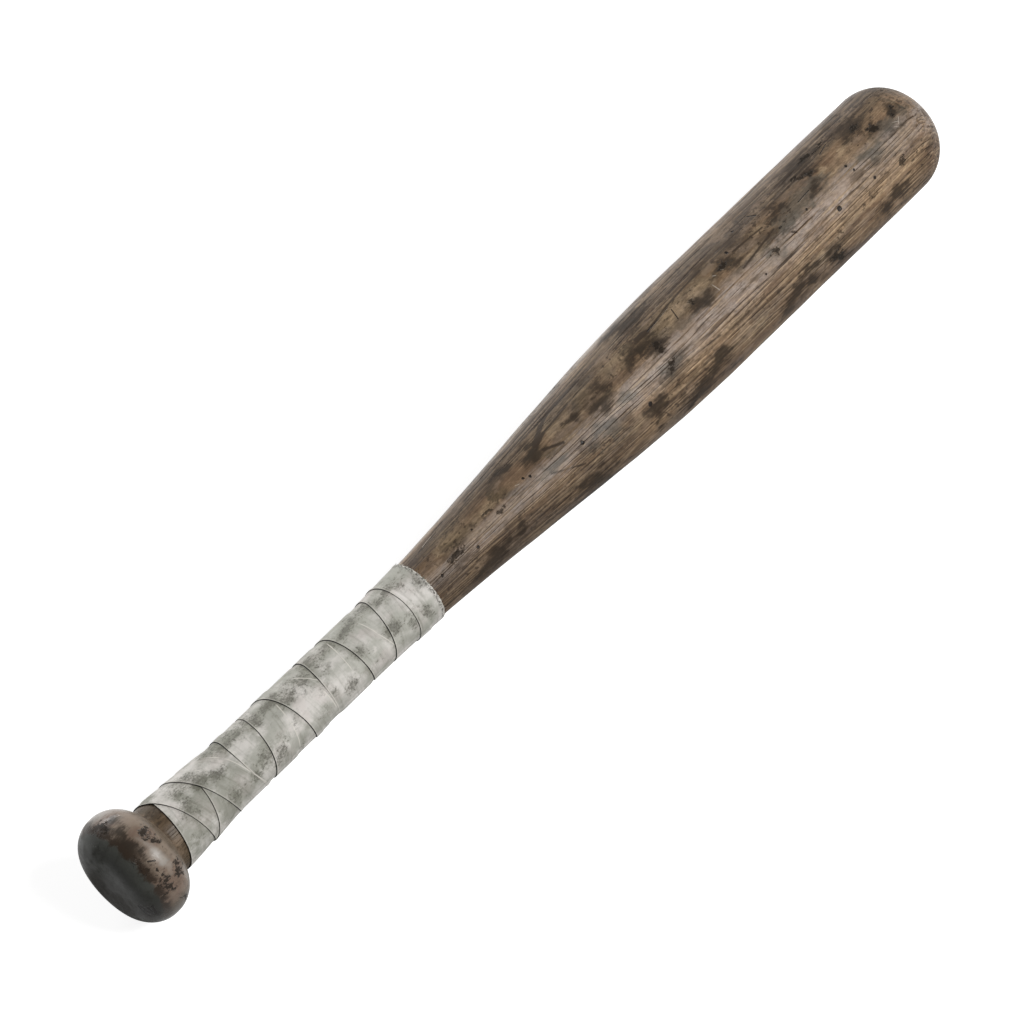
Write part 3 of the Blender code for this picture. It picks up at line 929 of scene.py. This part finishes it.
def make_tape(look):
    """One unbroken ribbon, each turn lapped over the one before. It starts at the knob."""
    first, last = (round(turn * TURN_STEPS) for turn in (-FIRST_TURN_TUCK, LAST_TURN_END))
    turn = np.arange(first, last + 1)[:, None] / TURN_STEPS
    share = np.linspace(0.0, 1.0, TAPE_COLUMNS)
    low, high = tape_span(turn)
    station = low + (high - low) * share
    layers = sum(covered(station, turn - back) for back in range(1, TURNS_BELOW + 1))
    angle = LEFT_ANGLE + 2 * math.pi * turn + 0 * share
    height = SEAT + layers * LAYER_RISE
    radius = handle_radius(station)
    outward = look.crease_depth * np.clip(waver(station, radius, angle, CREASE_WAVES), 0.0, 1.0)
    trimmed = high >= TRIM_STATION - MM * 0.01
    tear = look.tear_depth * waver(station, radius, angle, TEAR_WAVES, 1)
    tear = np.where(trimmed, tear, 0.0) * ease(3 * share - 2)
    inner = handle_radius(station) * ROUND_FIT + height
    under = place(station + tear, inner, angle)
    line = between_turns(turn, LAP_LINES)
    pressed = np.clip(-line, 0.0, 1.0) * PRESSED
    cloth = CLOTH * (1 - pressed * ease(1 - (station - low) / PRESSED_WIDTH))
    outer = place(station + tear, inner + cloth + outward, angle)
    rings = np.concatenate((under, outer[:, ::-1]), axis=1)
    next_edge, next_line = lap_above(turn, station)
    onward = 2 * math.pi / TURN_STEPS * handle_radius(low[1:, 0])
    run = np.cumsum(np.append(0.0, np.hypot(np.diff(low[:, 0]), onward)))
    dirty = (
        station + SMUDGE_WANDER * waver(station, radius, angle, SMUDGE_WAVES),
        angle + SMUDGE_TURN * waver(station, radius, -angle, SMUDGE_WAVES),
    )
    values = {
        "along": run[:, None] / MM + 0 * station,
        "across": (station - low) / MM,
        "own_edge": (station - low) / MM,
        "own_line": np.clip(line, 0.0, 1.0) + 0 * station,
        "next_edge": next_edge / MM,
        "next_line": np.clip(next_line, 0.0, 1.0),
        "trim": (TRIM_STATION - station) / MM,
        "smudge": patch_depth(*dirty, inner, SMUDGES),
    }
    values = {key: np.concatenate((numbers, numbers[:, ::-1]), axis=1) for key, numbers in values.items()}
    piece = make_piece("wound_tape", rings, ribbon_faces(len(rings)), values, cloth_tape(look))
    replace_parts(piece, "grip_tape")
    area = float((run[1:] - run[:-1]) @ (high - low)[1:, 0])
    return piece, (TAPE_WIDTH, float(run[-1])), min(area, TAPE_WIDTH * float(run[-1]))


def thread_points(start, heading, bend, reach, angle, width):
    """Rings of points along one loose end, which bends on its way and thins to half its width."""
    out = np.array((0.0, math.cos(angle), math.sin(angle)))
    beside = np.array((0.0, -math.sin(angle), math.cos(angle)))
    points = []
    for part in np.linspace(0.0, 1.0, THREAD_RINGS):
        course = heading + bend * part
        step = course[0] * np.array((1.0, 0.0, 0.0)) + course[1] * beside + abs(course[2]) * out
        centre = start + step / np.linalg.norm(step) * reach * part
        wide = width / 2 * (1.0 - 0.5 * part)
        for side in range(THREAD_SIDES):
            spin = 2 * math.pi * side / THREAD_SIDES
            points.append(centre + wide * (math.cos(spin) * out + math.sin(spin) * beside))
    return points


def thread_faces(base):
    """The faces along a thread whose points start at base, and its two ends."""
    sides = THREAD_SIDES
    last = base + (THREAD_RINGS - 1) * sides
    faces = [
        (row + side, row + (side + 1) % sides, row + sides + (side + 1) % sides, row + sides + side)
        for row in range(base, last, sides)
        for side in range(sides)
    ]
    faces.append(tuple(base + side for side in reversed(range(sides))))
    faces.append(tuple(last + side for side in range(sides)))
    return faces


def make_fray(look):
    """Short ends of thread that stand out of the trimmed ring."""
    chance = np.random.default_rng(THREAD_SEED)
    points, faces = [], []
    last = LAST_TURN_END - 0.5
    for _ in range(look.thread_count):
        angle = chance.uniform(0, 2 * math.pi)
        turn = last - ((LEFT_ANGLE + 2 * math.pi * last - angle) % (2 * math.pi)) / (2 * math.pi)
        layers = float(sum(covered(TRIM_STATION, np.array(turn - back)) for back in range(0, TURNS_BELOW)))
        top = float(handle_radius(TRIM_STATION)) * ROUND_FIT + SEAT + max(layers, 1.0) * LAYER_RISE
        reach = chance.uniform(*look.thread_reach)
        heading = chance.normal((1.0, 0.0, 0.15), (0.35, 0.6, 0.25))
        bend = chance.normal(0.0, 0.5, 3)
        start = place(TRIM_STATION - 0.3 * MM, top - chance.uniform(0.0, 0.3) * MM, angle)
        faces += thread_faces(len(points))
        points += thread_points(start, heading, bend, reach, angle, look.thread_width)
    return make_piece("tape_fray", np.array(points), faces, {}, loose_thread(look))


def face_bat(made, direction, distance):
    """Puts a lamp or camera this far from the bat's middle, in this direction, and turns it to face it."""
    made.location = Vector((0.0, 0.0, AXIS_HEIGHT)) + direction * distance
    made.rotation_euler = (-direction).to_track_quat("-Z", "Y").to_euler()


def area_lamp(name, watts):
    """A soft white lamp that faces the bat's middle."""
    lean, turn, distance, size = LAMPS[name]
    data = bpy.data.lights.new(name, "AREA")
    data.shape = "RECTANGLE"
    data.size, data.size_y = size
    data.energy = watts
    angle, flat = math.radians(turn), math.sqrt(1 - lean**2)
    direction = Vector((lean, flat * math.cos(angle), flat * math.sin(angle)))
    face_bat(add_object(name, data), direction, distance)


def seen_directly(graph, mirrored=1.0):
    """1 for rays from the camera or through something clear, and mirrored for those off something glossy."""
    rays = graph.node("LightPath").outputs
    glossy = graph.times(rays["Is Glossy Ray"], mirrored)
    return graph.largest(rays["Is Camera Ray"], glossy, rays["Is Transmission Ray"])


def pale_floor(look):
    """Matt and pale. What is seen of it is lifted to white, less the bat's shadow."""
    g = Graph(bpy.data.materials.new("pale_floor"))
    grain = g.noise(g.millimetres(), 0.4)
    open_sky = g.node("AmbientOcclusion", samples=8)
    open_sky.inputs["Distance"].default_value = look.contact
    mirrored = g.math("POWER", open_sky.outputs["AO"], 3.0)
    g.shade({
        "Base Color": g.mix(grain, look.floor, [0.98 * part for part in look.floor]),
        "Roughness": 1.0,
        "Specular IOR Level": 0.0,
        "Emission Color": (1.0, 1.0, 1.0),
        "Emission Strength": g.times(seen_directly(g, mirrored), look.floor_lift),
        "Normal": g.bump(grain, 0.02 * MM, 0.2),
    })
    return g.owner


def make_floor(look):
    """A wide disc at the height that the bat lies at."""
    turns = np.arange(FLOOR_SIDES) * 2 * math.pi / FLOOR_SIDES
    edge = np.stack((np.cos(turns), np.sin(turns), 0 * turns), axis=-1) * look.floor_radius
    mesh = bpy.data.meshes.new("studio_floor")
    mesh.from_pydata(edge.tolist(), [], [tuple(range(FLOOR_SIDES))])
    mesh.materials.append(pale_floor(look))
    add_object("studio_floor", mesh)


def light_world(look):
    """An even pale sky, which shows as white wherever it is seen or reflected."""
    world = bpy.data.worlds.new("studio_sky")
    bpy.context.scene.world = world
    g = Graph(world)
    g.shade({
        "Color": (1.0, 1.0, 1.0),
        "Strength": g.rise(seen_directly(g), 0.0, 1.0, look.sky, 1.0),
    })


def make_camera(look):
    """A long lens above the knob's left, level. The bat is a little above and right of the middle."""
    data = bpy.data.cameras.new("photo_camera")
    data.lens = look.lens
    data.sensor_width = 36.0
    data.shift_x, data.shift_y = look.shift
    data.clip_end = 50.0
    camera = add_object("photo_camera", data)
    flat = math.cos(look.elevation)
    back = Vector((math.sin(look.azimuth) * flat, -math.cos(look.azimuth) * flat, math.sin(look.elevation)))
    face_bat(camera, back, look.distance)
    bpy.context.scene.camera = camera


def tint(name, description, default):
    return FloatVectorProperty(
        name=name, description=description, default=default, subtype="COLOR", min=0.0, max=1.0
    )


def metres(name, description, default):
    return FloatProperty(
        name=name, description=description, default=default, subtype="DISTANCE", unit="LENGTH"
    )


def degrees(name, description, default):
    return FloatProperty(name=name, description=description, default=math.radians(default), subtype="ANGLE")


def fraction(name, description, default):
    return FloatProperty(name=name, description=description, default=default, min=0.0, max=1.0)


def power(name, description, default):
    return FloatProperty(name=name, description=description, default=default, min=0.0, subtype="POWER")


class BatWoodSettings(bpy.types.PropertyGroup):
    """Sizes and colours of the worn wood."""

    pale_brown: tint("Pale brown", "The paler of the wood's broad streaks", (0.218, 0.146, 0.088))
    brown: tint("Brown", "The darker of the wood's broad streaks", (0.134, 0.085, 0.050))
    # Grey is also a painted highlight along the wood's top band.
    grey: tint("Grey", "Where the wood has weathered", (0.235, 0.190, 0.160))
    bare_patch: tint("Bare patch", "Where dirt has flaked off", (0.270, 0.195, 0.135))
    ochre: tint("Ochre", "Bare patches in the flames of the figure", (0.275, 0.200, 0.125))
    red_brown: tint("Red brown", "Darker patches with torn edges", (0.098, 0.060, 0.038))
    # Flame is also the colour of the painted shade on the neck.
    flame: tint("Flame", "The dark edges of the flames", (0.060, 0.044, 0.026))
    smear: tint("Smear", "Greenish grey dirt, rubbed in", (0.070, 0.063, 0.052))
    dark_fibre: tint("Dark fibre", "Thin dark strands", (0.062, 0.040, 0.024))
    gold_fibre: tint("Gold fibre", "Thin pale strands", (0.330, 0.240, 0.150))
    dark_line: tint("Dark line", "The open pores that each year begins with", (0.026, 0.016, 0.009))
    # Stain is also the colour of the painted shade ring round the butt face.
    stain: tint("Stain", "Soft dark patches", (0.028, 0.018, 0.011))
    scar: tint("Scar", "Ragged black dents", (0.011, 0.008, 0.005))
    scrape: tint("Scrape", "Fresh pale scratches", (0.420, 0.370, 0.310))
    pit: tint("Pit", "Small round holes", (0.006, 0.004, 0.003))
    knob_red: tint("Knob red", "Reddish brown that hands have rubbed smooth", (0.160, 0.112, 0.085))
    knob_tan: tint("Knob tan", "The paler parts of the knob", (0.215, 0.172, 0.135))
    # This dark is dirt, and also painted shade on the knob's underside.
    knob_dirt_and_shade: tint("Knob dark", "The dirtier parts of the knob", (0.060, 0.050, 0.036))
    # This pale is painted highlight on the knob, and painted sheen along the wood's far edge.
    painted_highlight_tint: tint("Knob pale", "Where the knob's shoulder is rubbed bare", (0.450, 0.430, 0.400))
    # The butt's colour is grease and painted shade; its rim's colour is painted light.
    butt: tint("Butt", "Old grease on the knob's flat face", (0.031, 0.032, 0.027))
    painted_rim_light: tint("Butt rim", "Thinner grease on the upper rim of that face", (0.062, 0.064, 0.056))
    line_spacing: metres("Line spacing", "Between the straight lines down the sides", 0.0025)
    ring_spacing: metres("Ring spacing", "From one flame to the next, into the wood", 0.0030)
    figure: FloatProperty(name="Figure", description="How far the rings waver, in millimetres", default=5.0)
    pith_depth: metres("Pith depth", "From the bat's axis down to the middle of the tree", 0.070)
    pith_angle: degrees("Pith angle", "Where round the bat its rings lie flat", 92)
    roughness: fraction("Roughness", "Of the bare wood", 0.40)
    gloss: fraction("Gloss", "Strength of its reflections", 0.13)
    dust: fraction("Dust", "Pale bloom where it is seen edge on", 0.05)
    grain_depth: metres("Grain depth", "Height of the fibres' relief", 0.00015)
    ragged: metres("Raggedness", "How far the edges of patches waver", 0.0035)
    scar_depth: metres("Scar depth", "How far the ragged dents are pressed in", 0.00025)
    pit_depth: metres("Pit depth", "How deep the small holes are", 0.0005)
    wear_depth: metres("Wear depth", "Unevenness from years of use", 0.00015)


class BatTapeSettings(bpy.types.PropertyGroup):
    """Sizes and colours of the wound tape."""

    cloth: tint("Cloth", "Clean cotton", (0.665, 0.635, 0.600))
    worn_cloth: tint("Worn cloth", "Cotton that hands have greyed", (0.420, 0.415, 0.370))
    rosy_cloth: tint("Rosy cloth", "Cotton with a warm stain", (0.560, 0.500, 0.475))
    # Grime is also painted shade on the tape's flanks and painted shadow beside each lap.
    grime: tint("Grime", "Soft smudges of greenish dirt", (0.130, 0.128, 0.095))
    grit: tint("Grit", "Dark specks inside the smudges", (0.060, 0.055, 0.045))
    # The lap line is dirt and painted shade under each turn's edge.
    lap_dirt_and_shade: tint("Lap line", "Dirt caught under each turn's edge", (0.010, 0.009, 0.008))
    # Thread is also painted as highlights on the tape's ridges and its edges.
    thread: tint("Thread", "Loose ends and worn edges", (0.640, 0.610, 0.550))
    crease_depth: metres("Crease depth", "Height of the cloth's small wrinkles", 0.00006)
    tear_depth: metres("Tear depth", "Unevenness of the trimmed ring", 0.0004)
    weave_depth: metres("Weave depth", "Height of the threads' relief", 0.00008)
    thread_count: IntProperty(
        name="Threads", description="Loose ends at the trimmed ring", default=240, min=0
    )
    thread_width: metres("Thread width", "Of one loose end", 0.00020)
    thread_reach: FloatVectorProperty(
        name="Thread reach",
        description="Shortest and longest loose end",
        default=(0.0004, 0.0016),
        size=2,
        unit="LENGTH",
    )


class BatStageSettings(bpy.types.PropertyGroup):
    """The floor, the lamps and the camera."""

    floor: tint("Floor", "Colour of the floor", (0.45, 0.45, 0.45))
    floor_lift: FloatProperty(
        name="Floor lift", description="Light added to what is seen of the floor", default=0.87
    )
    contact: metres("Contact", "Reach of the dark line where the bat meets the floor", 0.06)
    floor_radius: metres("Floor radius", "Size of the floor", 12.0)
    sky: FloatProperty(
        name="Sky", description="Strength of the even light from all round", default=0.08, min=0.0
    )
    key: power("Key", "Power of the main lamp", 53.0)
    rim: power("Rim", "Power of the lamp behind the bat", 24.0)
    distance: metres("Camera distance", "From the bat's middle", 3.05)
    azimuth: degrees("Azimuth", "Camera's turn round the bat", -48.921)
    elevation: degrees("Elevation", "Camera's angle above the floor", 57.050)
    lens: FloatProperty(name="Lens", description="Focal length in millimetres", default=214.38)
    shift: FloatVectorProperty(
        name="Shift", description="Of the frame, in widths", default=(-0.01646, -0.02593), size=2
    )


class BAT_OT_wood(bpy.types.Operator):
    """Replace the plain billet with worn, stained and pitted wood"""

    bl_idname = "bat.wood"
    bl_label = "Worn wood"

    def execute(self, context):
        make_wood(context.scene.bat_wood)
        return {"FINISHED"}


class BAT_OT_tape(bpy.types.Operator):
    """Wind the handle in lapped cloth tape, with its trimmed end frayed"""

    bl_idname = "bat.tape"
    bl_label = "Wound tape"

    def execute(self, context):
        settings = context.scene.bat_tape
        tape, flat, area = make_tape(settings)
        fray = make_fray(settings)
        return {"FINISHED"}


class BAT_OT_stage(bpy.types.Operator):
    """Lay the floor, and set the lamps and the camera"""

    bl_idname = "bat.stage"
    bl_label = "Floor, lamps and camera"

    def execute(self, context):
        settings = context.scene.bat_stage
        make_floor(settings)
        light_world(settings)
        area_lamp("key_lamp", settings.key)
        area_lamp("rim_lamp", settings.rim)
        make_camera(settings)
        context.scene.view_settings.view_transform = "Standard"
        return {"FINISHED"}


class BAT_PT_looks(bpy.types.Panel):
    """Lists the bat's pieces and their settings"""

    bl_label = "Worn taped bat"
    bl_idname = "BAT_PT_looks"
    bl_space_type = "VIEW_3D"
    bl_region_type = "UI"
    bl_category = "Bat"

    def draw(self, context):
        for operator, name in PARTS:
            column = self.layout.column()
            column.operator(operator.bl_idname)
            settings = getattr(context.scene, name)
            for key in settings.__annotations__:
                column.prop(settings, key)


PARTS = ((BAT_OT_wood, "bat_wood"), (BAT_OT_tape, "bat_tape"), (BAT_OT_stage, "bat_stage"))
SETTINGS = {"bat_wood": BatWoodSettings, "bat_tape": BatTapeSettings, "bat_stage": BatStageSettings}
CLASSES = (*SETTINGS.values(), BAT_OT_wood, BAT_OT_tape, BAT_OT_stage, BAT_PT_looks)


def register():
    for kind in CLASSES:
        bpy.utils.register_class(kind)
    for name, kind in SETTINGS.items():
        setattr(bpy.types.Scene, name, PointerProperty(type=kind))


def unregister():
    for name in SETTINGS:
        delattr(bpy.types.Scene, name)
    for kind in reversed(CLASSES):
        bpy.utils.unregister_class(kind)


def main():
    register()
    bpy.ops.bat.wood()
    bpy.ops.bat.tape()
    bpy.ops.bat.stage()


if __name__ == "__main__":
    main()
